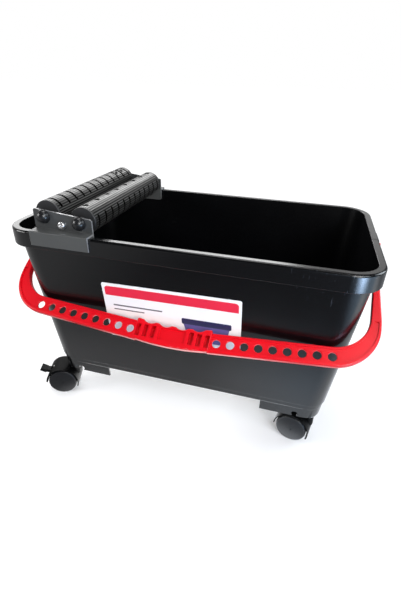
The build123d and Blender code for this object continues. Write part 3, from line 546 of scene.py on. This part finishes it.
floor_edge = floor_size / 2
floor_corners = [(-1, -1), (1, -1), (1, 1), (-1, 1)]
floor_points = [(x * floor_edge, y * floor_edge, 0) for x, y in floor_corners]
floor_mesh = bpy.data.meshes.new("floor")
floor_mesh.from_pydata(floor_points, [], [(0, 1, 2, 3)])
floor_mesh.materials.append(floor_material())
floor = bpy.data.objects.new("floor", floor_mesh)
bpy.context.scene.collection.objects.link(floor)

# World: white to the camera, a pale backdrop behind the object in reflections, an even light elsewhere
backdrop_top = math.sin(math.radians(26))
ceiling_start = math.sin(math.radians(36))
ceiling_share = 0.07
even_level = 0.25
world = bpy.data.worlds.new("studio")
world.use_nodes = True
bpy.context.scene.world = world
sky = Tree(world.node_tree)
sideways, backwards, upwards = sky.parts(sky.add("ShaderNodeTexCoord").outputs["Generated"])
behind = sky.span(backwards, -0.2, 0.2, 0.1, 1.0)
left_side = sky.span(sideways, -0.10, 0.17, 0.52, 1.0)
right_side = sky.span(sideways, 0.20, 0.45, 1.0, 0.1)
backdrop = sky.times(sky.math("MINIMUM", left_side, right_side), behind)
mirrored = sky.times(sky.span(upwards, backdrop_top, ceiling_start, 1.0, ceiling_share), backdrop)
level = sky.choose(sky.any_ray("Is Glossy Ray", "Is Transmission Ray"), even_level, mirrored)
background = world.node_tree.nodes["Background"]
background.inputs["Color"].default_value = (1, 1, 1, 1)
sky.put(sky.choose(sky.any_ray("Is Camera Ray"), level, 1.0), background.inputs["Strength"])


def softbox(name, place, target, size, power, color, shape="RECTANGLE"):
    """A soft lamp that points at a target and isn't seen itself."""
    lamp = bpy.data.lights.new(name, "AREA")
    lamp.shape = shape
    lamp.size, lamp.size_y = size
    lamp.energy = power
    lamp.color = color
    light = bpy.data.objects.new(name, lamp)
    light.location = place
    light.rotation_mode = "QUATERNION"
    light.rotation_quaternion = (Vector(target) - Vector(place)).to_track_quat("-Z", "Y")
    light.visible_camera = False
    bpy.context.scene.collection.objects.link(light)


# Lamps that point at the object's middle: name, place, size, power and colour
middle = (0, tub_y, 0.2)
white_light = (1, 1, 1)
window_light = (0.85, 0.93, 1.0)
lamps = [
    ("top_softbox", (-0.2, 0.2, 2.2), (0.9, 0.9), 12.0, white_light),
    ("back_softbox", (-0.75, 2.05, 1.55), (1.9, 0.8), 27.0, white_light),
    ("left_softbox", (-1.9, 1.5, 1.1), (1.0, 1.0), 9.0, white_light),
    ("front_softbox", (1.15, -1.85, 1.10), (0.8, 0.8), 31.0, white_light),
    ("fill_softbox", (-1.9, -1.0, 1.0), (1.0, 0.8), 22.0, white_light),
    ("overhead_softbox", (0.8, -0.75, 2.2), (0.6, 0.5), 3.8, white_light),
    ("window_softbox", (1.4, -0.95, 1.45), (0.8, 0.9), 14.0, window_light),
    ("side_softbox", (1.54, 0.57, 0.96), (0.9, 0.9), 16.0, window_light),
]
for name, place, size, power, color in lamps:
    softbox(name, place, middle, size, power, color)

# A low lamp in front of the right corner, brighter towards its middle: the scale and power of each layer
glow_place = Vector((0.66, -0.56, 0.07))
glow_target = Vector((0.22, -0.13, 0.25))
glow_away = (glow_place - glow_target).normalized()
glow_width, glow_height = 0.42, 0.24
glow_step = 0.02
glow_blue = (0.50, 0.70, 1.0)
glow_layers = ((1.0, 2.0), (0.6, 1.05), (0.3, 0.36))
for number, (scale, power) in enumerate(glow_layers):
    size = (glow_width * scale, glow_height * scale)
    place = glow_place + glow_away * glow_step * number
    softbox(f"right_softbox_{number}", place, glow_target, size, power, glow_blue, "ELLIPSE")

# Camera
camera_data = bpy.data.cameras.new("camera")
camera_data.sensor_width = camera_sensor
camera_data.lens = camera_lens
camera_data.clip_start = camera_clip
camera = bpy.data.objects.new("camera", camera_data)
bpy.context.scene.collection.objects.link(camera)
level_out = math.cos(camera_elevation)
forward = Vector((
    -math.sin(camera_azimuth) * level_out,
    math.cos(camera_azimuth) * level_out,
    -math.sin(camera_elevation),
))
right = forward.cross(Vector((0, 0, 1))).normalized()
down = forward.cross(right)
rolled_right = right * math.cos(camera_roll) + down * math.sin(camera_roll)
rolled_down = down * math.cos(camera_roll) - right * math.sin(camera_roll)
turn = Matrix((rolled_right, -rolled_down, -forward)).transposed()
place = Vector((camera_right_of_middle, tub_y - camera_before_tub, rim_z + camera_over_rim))
camera.matrix_world = Matrix.Translation(place) @ turn.to_4x4()
bpy.context.scene.camera = camera

bpy.context.scene.view_settings.view_transform = "Standard"
